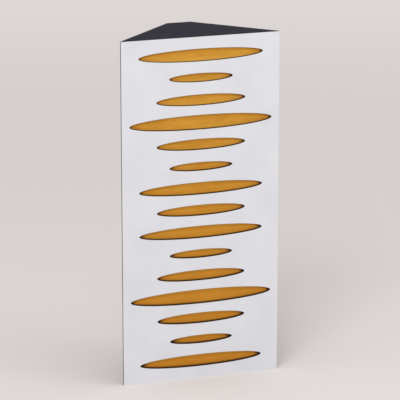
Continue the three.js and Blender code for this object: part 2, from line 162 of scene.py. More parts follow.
class Shader:
    """The node tree of a material, or of the world."""

    def __init__(self, name: str, world: bool = False) -> None:
        """Makes an empty node tree.

        Args:
            name: The name of the material or world.
            world: Make a world in place of a material.
        """
        self.owner = (bpy.data.worlds if world else bpy.data.materials).new(name)
        self.owner.use_nodes = True
        self.nodes = self.owner.node_tree.nodes
        self.links = self.owner.node_tree.links
        self.nodes.clear()

    def add(
        self,
        kind: str,
        settings: dict | None = None,
        inputs: dict | None = None,
        output: int | str = 0,
    ) -> Signal:
        """Adds one node.

        Args:
            kind: The node's type.
            settings: Its properties, which are set first. "steps" are a ramp's stops, each with a
                position and a colour that holds up to the next.
            inputs: Values or signals by socket name or number.
            output: The output that is wanted.

        Returns:
            The wanted output.
        """
        node = self.nodes.new(kind)
        for key, value in (settings or {}).items():
            if key == "steps":
                self._set_steps(node.color_ramp, value)
            else:
                setattr(node, key, value)
        for key, value in (inputs or {}).items():
            if isinstance(value, Signal):
                self.links.new(value.socket, node.inputs[key])
            else:
                node.inputs[key].default_value = value
        return Signal(self, node.outputs[output])

    @staticmethod
    def _set_steps(ramp: bpy.types.ColorRamp, steps: Sequence[tuple[float, Colour]]) -> None:
        """Gives a ramp its steps.

        Args:
            ramp: The ramp.
            steps: The position and the colour of each stop.
        """
        ramp.interpolation = "CONSTANT"
        while len(ramp.elements) < len(steps):
            ramp.elements.new(0.5)
        for element, (position, colour) in zip(ramp.elements, steps):
            element.position = position
            element.color = (*colour, 1)

    def parts(self, vector: Signal) -> list[Signal]:
        """The three parts of a vector."""
        node = self.add("ShaderNodeSeparateXYZ", inputs={0: vector}).socket.node
        return [Signal(self, output) for output in node.outputs]

    def seen(self) -> Signal:
        """Tells the rays that show the surface to the camera.

        Returns:
            1 for a ray straight to the camera or by way of gloss or glass, and 0 for any other.
        """
        node = self.add("ShaderNodeLightPath").socket.node
        camera, gloss, glass = (
            Signal(self, node.outputs[f"Is {kind} Ray"]) for kind in ("Camera", "Glossy", "Transmission")
        )
        return camera.maximum(gloss).maximum(glass)

    def place(self, scale: Sequence[float] = (1, 1, 1), surface: bool = False) -> Signal:
        """The point being shaded, in object coordinates or on the piece's own UV map, times a scale."""
        point = self.add("ShaderNodeTexCoord", output="UV" if surface else "Object")
        return self.add("ShaderNodeMapping", inputs={"Vector": point, "Scale": tuple(scale)})

    def noise(self, at: Signal, scale: float, detail: float = 3, roughness: float = 0.55) -> Signal:
        """Soft noise between 0 and 1 with so many cells to a metre."""
        inputs = {"Vector": at, "Scale": scale, "Detail": detail, "Roughness": roughness}
        return self.add("ShaderNodeTexNoise", inputs=inputs)

    def fibres(self, at: Signal, scale: float, width: float = 0.0022) -> Signal:
        """Thin curling fibres, drawn where soft noise n passes its middle: (n - 1/2)^2 is under the width."""
        off = self.noise(at, scale, detail=1.5) - 0.5
        return (off * off).between(width, 0.0)

    def crossed(self, pitch: float) -> Signal:
        """A sine along u times a sine along v, over the piece's own UV map.

        Args:
            pitch: The wavelength of both, in metres.

        Returns:
            The product, between -1 and 1.
        """
        u, v, _ = self.parts(self.place(surface=True))
        turn = 2 * math.pi / pitch
        return (u * turn).sine() * (v * turn).sine()

    def mix(self, factor: Signal | float, first: Signal | Colour, second: Signal | Colour) -> Signal:
        """One colour passing into another.

        Args:
            factor: 0 for the first colour and 1 for the second.
            first: The first colour.
            second: The second colour.

        Returns:
            The mixed colour.
        """
        values = [v if isinstance(v, Signal) else (*v, 1) for v in (first, second)]
        inputs = {0: factor, 6: values[0], 7: values[1]}
        return self.add("ShaderNodeMix", {"data_type": "RGBA"}, inputs, output=2)

    def bump(self, height: Signal, distance: float, strength: float) -> Signal:
        """A normal tilted by a height between 0 and 1 that stands for a distance in metres."""
        inputs = {"Strength": strength, "Distance": distance, "Height": height}
        return self.add("ShaderNodeBump", inputs=inputs)

    def finish(self, **sockets: Signal | float | Colour) -> bpy.types.Material:
        """Closes the material.

        Args:
            sockets: Values of the Principled shader, with _ for each space in a socket's name.

        Returns:
            The material.
        """
        inputs = {}
        for key, value in sockets.items():
            colour = isinstance(value, tuple) and len(value) == 3
            inputs[key.replace("_", " ")] = (*value, 1) if colour else value
        return self.close(self.add("ShaderNodeBsdfPrincipled", inputs=inputs))

    def close(self, surface: Signal) -> bpy.types.ID:
        """Joins a surface to the tree's output.

        Args:
            surface: What a shader node puts out.

        Returns:
            The material or world.
        """
        world = isinstance(self.owner, bpy.types.World)
        output = self.nodes.new("ShaderNodeOutputWorld" if world else "ShaderNodeOutputMaterial")
        self.links.new(surface.socket, output.inputs["Surface"])
        return self.owner


@dataclass(frozen=True)
class LacqueredBoard:
    """White satin lacquer on the face of a fibreboard whose back is bare."""

    back_y: float
    white: Colour = (0.785, 0.785, 0.825)
    shade: Colour = (0.745, 0.747, 0.792)
    scorch: Colour = (0.34, 0.20, 0.10)
    raw: Colour = (0.30, 0.185, 0.095)
    raw_fleck: Colour = (0.42, 0.285, 0.16)
    cloud_cells: float = 9
    chip_cells: float = 650
    peel_cells: float = 420
    peel: float = 0.05 * MM
    satin: float = 0.36

    def material(self) -> bpy.types.Material:
        """Mixes lacquer and bare back by depth, scorched by the piece's char attribute, 1 on a cut edge.

        Returns:
            The material.
        """
        s = Shader("lacquered_board")
        at = s.place()
        char = s.add("ShaderNodeAttribute", {"attribute_name": "char"}, output="Fac")
        cloud = s.noise(at, self.cloud_cells, 2)
        lacquer = s.mix(cloud.between(0.3, 0.7), self.white, self.shade)
        chips = s.noise(at, self.chip_cells, 4, 0.7)
        bare = s.mix(chips.between(0.4, 0.7), self.raw, self.raw_fleck)
        behind = s.parts(at)[1].between(self.back_y - 0.5 * MM, self.back_y - 0.1 * MM)
        colour = s.mix(char.between(0.0, 0.6) * 0.7, s.mix(behind, lacquer, bare), self.scorch)
        relief = s.bump(s.noise(at, self.peel_cells, 2), self.peel, 0.5)
        rough = self.satin + 0.08 * cloud + 0.45 * behind
        return s.finish(Base_Color=colour, Roughness=rough, Normal=relief, Specular_IOR_Level=0.45)


@dataclass(frozen=True)
class CharredCut:
    """The laser's cut through the fibreboard, burnt nearly black, with fine ridges from face to back."""

    burnt: Colour = (0.010, 0.0055, 0.003)
    brown: Colour = (0.062, 0.029, 0.012)
    ridge_cells: float = 900
    ridge: float = 0.06 * MM

    def material(self) -> bpy.types.Material:
        """Draws the ridges, which are long along the board's depth, and kills the gloss.

        Returns:
            The material.
        """
        s = Shader("charred_cut")
        ridges = s.noise(s.place((1, 0.15, 1)), self.ridge_cells, 4, 0.7)
        colour = s.mix(ridges.between(0.42, 0.75), self.burnt, self.brown)
        relief = s.bump(ridges, self.ridge, 0.6)
        return s.finish(Base_Color=colour, Roughness=0.97, Normal=relief, Specular_IOR_Level=0.04)


@dataclass(frozen=True)
class AmberFelt:
    """Pressed amber felt: mottled patches, loose lighter fibres, a soft nap, and painted shade and painted
    light round each slot.

    The painted shade grows downwards: a growth is nothing at the top slot and whole at the bottom one. A pair
    of strengths is for the top and the bottom slot, except the dark line's, which is for a slot's upper
    and lower edge. Three strengths are for a slot's upper edge, its tips and its lower edge.
    """

    slots: "SlotRow"
    # Top and bottom tones: partly the felt's own tone, partly painted shade for light that falls off down the
    # board.
    top: Colour = (0.700, 0.335, 0.040)
    bottom: Colour = (0.585, 0.222, 0.018)
    shade: Colour = (0.44, 0.165, 0.012)
    fleck: Colour = (0.80, 0.44, 0.06)
    # Painted shade: the colour that the felt darkens to towards each slot's outline.
    painted_edge_shade_colour: Colour = (0.56, 0.155, 0.011)
    # Painted light: the colour that the felt is lifted towards.
    painted_light_colour: Colour = (0.90, 0.50, 0.085)
    # Painted shade: the near-black that the dark line and the tips take.
    painted_dark_colour: Colour = (0.016, 0.007, 0.003)
    patch_cells: float = 20
    blotch_cells: float = 110
    fibre_cells: Triple = (620, 900, 760)
    nap: float = 0.09 * MM
    # Painted shade: the dark line along each outline, the shade in from the tips, and the dark narrow tips.
    line: float = 0.9 * MM
    line_growth_down: float = 7.2 * MM
    line_strength: Pair = (0.12, 0.94)
    haze: float = 19.0 * MM
    haze_strength: Triple = (0.005, 0.135, 0.005)
    tips: Pair = (2.0 * MM, 7.2 * MM)
    tips_growth_down: float = 2.2 * MM
    tip_strength: Pair = (0.74, 1.0)
    left_lean: float = 1.2 * MM
    # Painted shade towards each outline: its reach, and its strength at the upper edge, tips and lower edge.
    painted_edge_shade: float = 26.0 * MM
    painted_edge_shade_strength: Triple = (0.20, 0.47, 0.05)
    # Painted light: its reach under the upper edges, and its strength there and on the lower side of the top
    # slots.
    painted_light: Pair = (1.5 * MM, 8.0 * MM)
    painted_light_strength: Pair = (0.15, 1.10)
    lit_strength: Pair = (0.55, -0.85)

    def material(self) -> bpy.types.Material:
        """Layers patches, blotches and fibres that lie three ways, then painted edge shade, painted light and
        painted dark shade.

        Returns:
            The material.
        """
        s = Shader("amber_felt")
        low, high = self.slots.low.z, self.slots.high.z
        x, _, z = s.parts(s.place())
        patches = s.noise(s.place((0.55, 1, 1.5)), self.patch_cells)
        blotches = s.noise(s.place((0.7, 1, 1.2)), self.blotch_cells, 3, 0.6)
        # Darker and deeper towards the bottom: partly the felt's own tone, partly painted shade for light
        # falling off down the board.
        tone_and_shade_by_height = s.mix((z + patches * 0.3).between(low + 0.1, high + 0.1), self.bottom, self.top)
        tone = (patches * 0.65 + blotches * 0.35).between(0.62, 0.3)
        base = s.mix(tone * 0.42, tone_and_shade_by_height, self.shade)
        stretches = (0.6, 1, 1.3), (1.3, 1, 0.7), (1, 1, 1.1)
        level, upright, under = (
            s.fibres(s.place(stretch), cells) for stretch, cells in zip(stretches, self.fibre_cells)
        )
        colour = s.mix(under * 0.34, base, self.shade)
        colour = s.mix((level + upright * 0.8) * 0.2, colour, self.fleck)
        painted_edge_shade, painted_light, painted_dark_shade = self._painted_shade_and_light(s, x, z)
        # Painted shade: the felt darkens towards each slot's outline, most at the tips.
        colour = s.mix(painted_edge_shade, colour, self.painted_edge_shade_colour)
        # Painted light: lifts the felt under each upper edge and on the lower side of the top slots.
        colour = s.mix(painted_light, colour, self.painted_light_colour)
        # Painted shade: the near-black line, the shade in from the tips and the dark narrow tips, a little
        # uneven.
        colour = s.mix(painted_dark_shade * (0.86 + 0.25 * blotches), colour, self.painted_dark_colour)
        relief = s.bump(level * 0.6 + upright * 0.5 + under * 0.4 + blotches, self.nap, 0.6)
        return s.finish(
            Base_Color=colour, Roughness=0.95, Normal=relief, Specular_IOR_Level=0.05,
            Sheen_Weight=0.06, Sheen_Roughness=0.6,
        )

    def _half_size(self, s: Shader, height: Signal) -> list[Signal]:
        """Looks up the slot at a height, by a ramp that holds each slot's size over its own band.

        Args:
            s: The material's tree.
            height: The height, 0 to 1 up the board.

        Returns:
            Half the slot's length and half its own height.
        """
        row, steps = self.slots, []
        for number in reversed(range(len(row.slots))):
            start = (row.slot_middle(number) - row.pitch / 2 - row.low.z) / row.height
            steps.append((max(start, 0.0) if steps else 0.0, (*row.half_size(row.slots[number]), 0)))
        return s.parts(s.add("ShaderNodeValToRGB", {"steps": steps}, {0: height}))[:2]

    def _painted_shade_and_light(self, s: Shader, x: Signal, z: Signal) -> tuple[Signal, Signal, Signal]:
        """Painted shade and painted light on the felt behind each slot.

        With q the square root of (x/a)^2 + (z/b)^2 for a slot of half length a and half height b,
        the distance to its outline is about q (1 - q) over the length of (x/a^2, z/b^2). Towards
        it the felt is darkened by painted shade. A dark line of painted shade follows the lower edge,
        painted shade reaches in from the tips, and a tip is painted dark where the slot is narrow, most
        at the left. Painted light lifts the felt under the upper edge, and in the top slots down to the
        lower one.

        Args:
            s: The material's tree.
            x: Place across the board.
            z: Place up the board.

        Returns:
            Masks of the painted edge shade, of the painted light and of the painted dark shade.
        """
        row = self.slots
        height = (z - row.low.z) / row.height
        sunk = 1 - height
        a, b = self._half_size(s, height)
        up = (z - row.slot_middle(0)).wrapped(row.pitch / 2)
        u, v = x / a, up / b
        q = u.length_with(v)
        inside = q * (1 - q) / (u / a).length_with(v / b)
        upper, below = v.between(0.1, 0.6), v.between(-0.1, -0.6)

        def by_side(at_upper: float, at_tips: float, at_lower: float) -> Signal:
            """A strength that is one number by the upper edge, one by the tips and one by the lower edge."""
            return at_tips + upper * (at_upper - at_tips) + below * (at_lower - at_tips)

        # Painted shade: a dark line along the outline, darkest on the lower edge and widest in the lower
        # slots.
        line = 1 - (inside / (self.line + self.line_growth_down * sunk)).between(0, 1)
        line = line * v.between(0.35, -0.35).spread(*self.line_strength)
        # Painted shade that reaches in from the tips.
        haze = (1 - inside.between(0, self.haze)) * by_side(*self.haze_strength)
        # Painted shade in each tip where the slot is narrow, more at the left and in the lower slots.
        opening = b * (1 - u * u).maximum(0).power(0.5) - u.between(0.3, -0.3) * sunk * self.left_lean
        near, far = (size + self.tips_growth_down * sunk for size in self.tips)
        tips = (1 - opening.between(near, far)) * sunk.spread(*self.tip_strength)
        # Painted shade that darkens the felt towards the outline.
        painted_edge_shade = (1 - inside.between(0, self.painted_edge_shade)) * by_side(*self.painted_edge_shade_strength)
        # Painted light under each slot's upper edge, most in the lower slots.
        painted_light = (1 - inside.between(*self.painted_light)) * upper * sunk.spread(*self.painted_light_strength)
        # Painted light on the lower side of the top slots.
        painted_light = painted_light + v.between(0.1, -0.9) * sunk.spread(*self.lit_strength).maximum(0)
        return painted_edge_shade, painted_light, line.maximum(haze).maximum(tips)


@dataclass(frozen=True)
class CharcoalCloth:
    """Plain-woven bluish charcoal cloth, with yarns that vary a little along their length."""

    dark: Colour = (0.0122, 0.0113, 0.0205)
    light: Colour = (0.0312, 0.0294, 0.0482)
    yarns: float = 1.1 * MM
    slub_cells: float = 700
    wear_cells: float = 14
    relief: float = 0.25 * MM

    def material(self) -> bpy.types.Material:
        """Weaves warp and weft along the piece's own UV map, which is in metres.

        Returns:
            The material.
        """
        s = Shader("charcoal_cloth")
        weave = s.crossed(self.yarns) * 0.5 + 0.5
        warp = s.noise(s.place((1, 0.03, 1), surface=True), self.slub_cells, 2)
        weft = s.noise(s.place((0.03, 1, 1), surface=True), self.slub_cells, 2)
        slub = warp * 0.5 + weft * 0.5
        worn = s.noise(s.place(surface=True), self.wear_cells)
        tone = (weave * 0.35 + slub * 0.9 + worn * 0.35).between(0.45, 1.15)
        colour = s.mix(tone, self.dark, self.light)
        relief = s.bump(weave * 0.7 + slub * 0.5, self.relief, 0.7)
        return s.finish(
            Base_Color=colour, Roughness=0.95, Normal=relief, Specular_IOR_Level=0.06,
            Sheen_Weight=0.03, Sheen_Roughness=0.5,
        )


@dataclass(frozen=True)
class BlackLining:
    """Black spun lining with a fine grid of pressed dots."""

    dark: Colour = (0.010, 0.010, 0.011)
    light: Colour = (0.030, 0.030, 0.033)
    dots: float = 2.4 * MM
    web_cells: float = 650
    relief: float = 0.2 * MM

    def material(self) -> bpy.types.Material:
        """Presses dots into a web of fibres.

        Returns:
            The material.
        """
        s = Shader("black_lining")
        dots = s.crossed(self.dots).between(0.3, 0.8)
        web = s.noise(s.place(surface=True), self.web_cells, 5, 0.75)
        colour = s.mix(web.between(0.35, 0.7) * (1 - 0.5 * dots), self.dark, self.light)
        relief = s.bump(web * 0.5 - dots * 0.6, self.relief, 0.8)
        return s.finish(Base_Color=colour, Roughness=0.9, Normal=relief, Specular_IOR_Level=0.25)


@dataclass(frozen=True)
class Timber:
    """Planed wood, solid or in plies."""

    name: str
    early: Colour
    late: Colour
    grain: GrainAxis
    ply: float = 0.0
    stretch: float = 0.05
    band_cells: float = 55
    pore_cells: float = 1400
    relief: float = 0.12 * MM

    def material(self) -> bpy.types.Material:
        """Draws bands and pores along the grain, and glue lines on the edges of plywood.

        Returns:
            The material.
        """
        s = Shader(self.name)
        at = s.place((self.stretch, 1, 1) if self.grain is GrainAxis.ACROSS else (1, 1, self.stretch))
        rings = ((s.noise(at, self.band_cells, 3, 0.5) * 46).sine() * 0.5 + 0.5).power(1.6)
        pores = s.noise(at, self.pore_cells, 2, 0.6)
        tone = rings * 0.6 + pores.between(0.35, 0.8) * 0.3
        if self.ply:
            plies = (s.parts(s.place())[2] * (math.pi / self.ply)).sine()
            tone = tone * 0.6 + plies.between(-0.3, 0.3) * 0.35
        colour = s.mix(tone, self.early, self.late)
        relief = s.bump(pores * 0.6 + rings * 0.3, self.relief, 0.6)
        return s.finish(Base_Color=colour, Roughness=0.62 + 0.15 * pores, Normal=relief)


@dataclass(frozen=True)
class MineralWool:
    """Matted mineral wool in thin layers."""

    dark: Colour = (0.21, 0.145, 0.055)
    light: Colour = (0.47, 0.37, 0.185)
    layer_cells: float = 60
    fibre_cells: Pair = (620, 900)
    relief: float = 1.2 * MM

    def material(self) -> bpy.types.Material:
        """Lays fibres in level layers.

        Returns:
            The material.
        """
        s = Shader("mineral_wool")
        layers = s.noise(s.place((0.5, 0.5, 3)), self.layer_cells, 5, 0.7)
        coarse, fine = self.fibre_cells
        fibres = s.fibres(s.place((0.7, 0.7, 1.6)), coarse) * 0.6 + s.fibres(s.place((1, 1, 1.5)), fine) * 0.4
        colour = s.mix(layers.between(0.3, 0.75) * 0.6 + fibres * 0.7, self.dark, self.light)
        relief = s.bump(fibres * 0.7 + layers, self.relief, 0.9)
        return s.finish(Base_Color=colour, Roughness=1.0, Normal=relief)


@dataclass(frozen=True)
class Metal:
    """A bare or plated metal, brushed or mottled."""

    name: str
    tone: Colour
    shade: Colour
    rough: float
    brush: Triple = (1, 1, 1)
    line_cells: float = 900
    mark_cells: float = 60
    relief: float = 0.02 * MM

    def material(self) -> bpy.types.Material:
        """Varies the metal's shine along its brushing, with faint handling marks.

        Returns:
            The material.
        """
        s = Shader(self.name)
        lines = s.noise(s.place(self.brush), self.line_cells, 3, 0.6)
        marks = s.noise(s.place(), self.mark_cells, 4, 0.65)
        tarnish = marks.between(0.35, 0.75) * 0.6 + lines.between(0.4, 0.7) * 0.4
        return s.finish(
            Base_Color=s.mix(tarnish, self.tone, self.shade),
            Roughness=self.rough + 0.16 * lines + 0.12 * marks.between(0.5, 0.8),
            Metallic=1.0,
            Normal=s.bump(lines, self.relief, 0.5),
        )


@dataclass(frozen=True)
class BlackRubber:
    """Moulded black rubber with a dusty bloom."""

    black: Colour = (0.014, 0.014, 0.016)
    bloom: Colour = (0.045, 0.044, 0.045)
    bloom_cells: float = 70
    grain_cells: float = 1500
    relief: float = 0.06 * MM

    def material(self) -> bpy.types.Material:
        """Spreads the bloom in patches over a fine moulded grain.

        Returns:
            The material.
        """
        s = Shader("black_rubber")
        dust = s.noise(s.place(), self.bloom_cells, 4, 0.65)
        colour = s.mix(dust.between(0.4, 0.75), self.black, self.bloom)
        relief = s.bump(s.noise(s.place(), self.grain_cells, 2), self.relief, 0.7)
        return s.finish(Base_Color=colour, Roughness=0.62 + 0.2 * dust, Normal=relief)


PLYWOOD = Timber("birch_plywood", (0.64, 0.46, 0.26), (0.42, 0.26, 0.12), GrainAxis.ACROSS, ply=1.5 * MM)
SOFTWOOD = Timber("planed_pine", (0.68, 0.49, 0.26), (0.42, 0.23, 0.085), GrainAxis.UPRIGHT)
ZINC = Metal("zinc_plate", (0.48, 0.49, 0.52), (0.34, 0.35, 0.39), 0.22)
MILL_ALUMINIUM = Metal("mill_aluminium", (0.56, 0.565, 0.58), (0.44, 0.445, 0.46), 0.26, (1, 1, 0.05))


def unit(vectors: Array) -> Array:
    """Arrows of length 1 that point the same ways."""
    return vectors / np.linalg.norm(vectors, axis=-1, keepdims=True)


def turns(count: int) -> Array:
    """Angles of so many even steps round a full turn."""
    return np.arange(count) * 2 * math.pi / count


def run_along(path: Array) -> Array:
    """Distance along a path at each of its points."""
    return np.concatenate([[0], np.cumsum(np.linalg.norm(np.diff(path, axis=0), axis=1))])


def border(grid: Array) -> Array:
    """A grid's outermost entries, in order round it."""
    return np.concatenate([grid[0, :-1], grid[:-1, -1], grid[-1, :0:-1], grid[:0:-1, 0]])


def new_object(name: str, data: bpy.types.ID) -> bpy.types.Object:
    """Puts a mesh, lamp or camera into the scene.

    Args:
        name: The object's name.
        data: The mesh, lamp or camera.

    Returns:
        The new object.
    """
    item = bpy.data.objects.new(name, data)
    bpy.context.scene.collection.objects.link(item)
    return item


@dataclass
class Surface:
    """Points, faces and what is known at each point, gathered before they become a mesh."""

    points: list[Array] = field(default_factory=list)
    quads: list[Array] = field(default_factory=list)
    uv: list[Array] = field(default_factory=list)
    char: list[Array] = field(default_factory=list)
    count: int = 0

    def add_grid(
        self, points: Array, uv: Array | None = None, char: Sequence[float] = (), loop: bool = False,
    ) -> None:
        """Adds a grid of points, with a quad between each four neighbours.

        Args:
            points: Array of rows by columns by 3.
            uv: Array of rows by columns by 2.
            char: How burnt each row is, 0 to 1, or nothing where none is.
            loop: Join each row's ends.
        """
        rows, columns = points.shape[:2]
        steps = columns if loop else columns - 1
        row, column = np.meshgrid(np.arange(rows - 1) * columns, np.arange(steps), indexing="ij")
        following = (column + 1) % columns
        corners = [row + column, row + following, row + columns + following, row + columns + column]
        self.quads.append(self.count + np.stack(corners, -1).reshape(-1, 4))
        self.points.append(points.reshape(-1, 3))
        self.uv.append((np.zeros((rows, columns, 2)) if uv is None else uv).reshape(-1, 2))
        self.char.append(np.repeat(char or [0.0] * rows, columns))
        self.count += rows * columns

    def build(
        self,
        name: str,
        finish: bpy.types.Material,
        cut: bpy.types.Material | None = None,
        sharp: float = 40.0,
    ) -> bpy.types.Object:
        """Makes the object, with coincident points merged and faces pointing out.

        Args:
            name: The piece's name.
            finish: Its material.
            cut: Material of the faces whose every corner is charred by half or more.
            sharp: Degrees between faces past which an edge isn't shaded smooth.

        Returns:
            The new object, at the origin.
        """
        mesh = bpy.data.meshes.new(name)
        quads, char = np.concatenate(self.quads), np.concatenate(self.char)
        mesh.from_pydata(np.concatenate(self.points).tolist(), [], quads.tolist())
        mesh.attributes.new("char", "FLOAT", "POINT").data.foreach_set("value", char)
        corner_points = np.empty(len(mesh.loops), np.int32)
        mesh.loops.foreach_get("vertex_index", corner_points)
        flat = np.concatenate(self.uv)[corner_points]
        mesh.uv_layers.new(name="flat").uv.foreach_set("vector", flat.ravel())
        mesh.materials.append(finish)
        if cut is not None:
            mesh.materials.append(cut)
            mesh.polygons.foreach_set("material_index", (char[quads].min(axis=1) >= 0.5).astype(np.int32))
        close_up(mesh)
        mesh.shade_smooth()
        mesh.set_sharp_from_angle(angle=math.radians(sharp))
        return new_object(name, mesh)


def close_up(mesh: bpy.types.Mesh) -> None:
    """Merges coincident points and turns every face outwards.

    Args:
        mesh: The mesh, which is changed in place.
    """
    b = bmesh.new()
    b.from_mesh(mesh)
    bmesh.ops.remove_doubles(b, verts=b.verts, dist=MERGED)
    bmesh.ops.dissolve_degenerate(b, edges=b.edges, dist=MERGED / 10)
    bmesh.ops.recalc_face_normals(b, faces=b.faces)
    b.to_mesh(mesh)
    b.free()


def carried_sheet(
    path: Array, normal: Array, half: Array, thick: float, columns: int,
) -> tuple[Array, Array, Array]:
    """A sheet's two faces: its path offset by half its thickness either way, and carried across its width.

    Args:
        path: The middle line, points by 2.
        normal: The way out of the outer face at each point.
        half: Half the sheet's width at each point.
        thick: Its thickness.
        columns: How many points stand across it.

    Returns:
        The outer and the inner face, each with its place across and then the path's two parts, and the
        flat place of each point.
    """
    across = half[:, None] * np.linspace(-1, 1, columns)
    sides = [path + sign * normal * thick / 2 for sign in (1, -1)]
    outer, inner = (np.stack(np.broadcast_arrays(across, side[:, :1], side[:, 1:]), -1) for side in sides)
    return outer, inner, np.stack(np.broadcast_arrays(across, run_along(path)[:, None]), -1)


def sheet_surface(
    outer: Array, inner: Array, uv: Array, rim: float = 0.0, square: float = 1.0, points: int = 13,
) -> Surface:
    """A closed sheet: an outer grid, an inner grid, and a rim that joins their borders.

    With c the middle and h half the difference of the outer and inner border points, and n the way out
    of the sheet's edge, the rim runs through c + h C + rim n S. C and S are the cosine and the sine of an
    angle from 0 to pi, and the same power of both flattens the curve where it is under 1.

    Args:
        outer: Outer points, rows by columns by 3.
        inner: Inner points, the same shape.
        uv: Flat place of each point in metres, rows by columns by 2.
        rim: How far the rim stands out past the grids.
        square: The power, 1 for a round rim.
        points: How many points a rim that stands out has from face to face.

    Returns:
        The gathered surface.
    """
    above, below = border(outer), border(inner)
    middle, half = (above + below) / 2, (above - below) / 2
    step = unit(np.roll(middle, -1, 0) - middle)
    out = unit(np.cross(step + np.roll(step, 1, 0), half))
    centre = outer.shape[1] // 2
    out *= np.sign(out[centre] @ (outer[0, centre] - outer[1, centre]))
    angle = np.linspace(0, math.pi, points if rim else 2)[:, None, None]
    lie = np.sign(np.cos(angle)) * np.abs(np.cos(angle)) ** square
    bulge = np.abs(np.sin(angle)) ** square
    surface = Surface()
    surface.add_grid(outer, uv)
    surface.add_grid(inner[:, ::-1], uv[:, ::-1])
    edge_uv = np.broadcast_to(border(uv), (len(angle), len(above), 2))
    surface.add_grid(middle + half * lie + rim * out * bulge, edge_uv, loop=True)
    return surface


def ripple(a: Array, b: Array, wavelength: float) -> Array:
    """A smooth uneven height: the sum of three crossed sines of unlike wavelengths.

    Args:
        a: Each point's place one way.
        b: Its place the other way.
        wavelength: About how far it is from one rise to the next.

    Returns:
        The height at each point, between about -1 and 1.
    """
    k = 2 * math.pi / wavelength
    first = np.sin(k * (a * 0.83 + b * 0.41) + 1.3)
    second = np.sin(k * (a * -0.52 + b * 1.07) + 4.1 + first)
    third = np.sin(k * (a * 1.61 - b * 0.77) * 1.3 + 2.2)
    return (first + second + 0.6 * third) / 2.6


def report(piece: bpy.types.Object, slot: str, *nodes: str) -> bpy.types.Object:
    """Hands a finished piece over: it rides on the trap and stands for CAD nodes, which it hides.

    Args:
        piece: The finished piece.
        slot: The record's material slot. Not used.
        nodes: The CAD nodes that it stands for.

    Returns:
        The same piece.
    """
    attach(piece, "root")
    if nodes:
        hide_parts(*nodes)
    LOG.info("%s: %d faces, for %s", piece.name, len(piece.data.polygons), ", ".join(nodes) or "no node")
    return piece


@dataclass
class Plan:
    """The trap seen from above, read from the frame. The flanks run at 45 degrees.

    What is fixed to a flank stands a seat's width off its face.
    """

    half_width: float = field(default_factory=lambda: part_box("front_board")[1].x)
    board_back: float = field(default_factory=lambda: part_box("front_board")[1].y)
    felt_half: float = field(default_factory=lambda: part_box("felt_facing")[1].x)
    cloth_front: float = field(default_factory=lambda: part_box("side_wrap")[0].y)
    rear: float = field(default_factory=lambda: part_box("side_wrap")[1].y)
    cloth: float = 1.2 * MM
    seat: float = 0.3 * MM

    def half_at(self, y: float | Array) -> float | Array:
        """Half the body's width at a depth."""
        return self.half_width - (y - self.board_back)

    def on_flank(self, side: Side, along: float | Array, out: float | Array, height: float | Array) -> Array:
        """Points by a flank.

        Args:
            side: Which flank.
            along: Distance along the flank from its middle, towards the rear.
            out: Distance out of its face.
            height: Height above the floor.

        Returns:
            The points, with X, Y and Z last.
        """
        middle, slant = (self.board_back + self.rear) / 2, math.sqrt(0.5)
        x = side.value * (self.half_at(middle) + (out - along) * slant)
        return np.stack(np.broadcast_arrays(x, middle + (out + along) * slant, height), -1)


@dataclass
class SlotRow:
    """The row of level slots down the board: a repeated group of seven with one more between.

    The margin is the board beside the longest slot, and the end lies beyond the first slot's middle.
    """

    margin: float = 23 * MM
    end: float = 52 * MM

    def __post_init__(self) -> None:
        """Reads the board's box and works out the slots."""
        self.low, self.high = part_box("front_board")
        self.height = self.high.z - self.low.z
        group = [SlotSize.LONG, SlotSize.SHORT, SlotSize.MIDDLE, SlotSize.LONGEST]
        group += [SlotSize.MIDDLE, SlotSize.SHORT, SlotSize.LONG]
        self.slots = [*group, SlotSize.MIDDLE, *group]
        self.pitch = (self.height - 2 * self.end) / (len(self.slots) - 1)

    def slot_middle(self, number: int) -> float:
        """Height of a slot's middle line, counted from the top."""
        return self.high.z - self.end - number * self.pitch

    def half_size(self, slot: SlotSize) -> tuple[float, float]:
        """Half the length and half the height of a slot."""
        length, height = slot.value
        return (self.high.x - self.margin if length is None else length / 2), height / 2


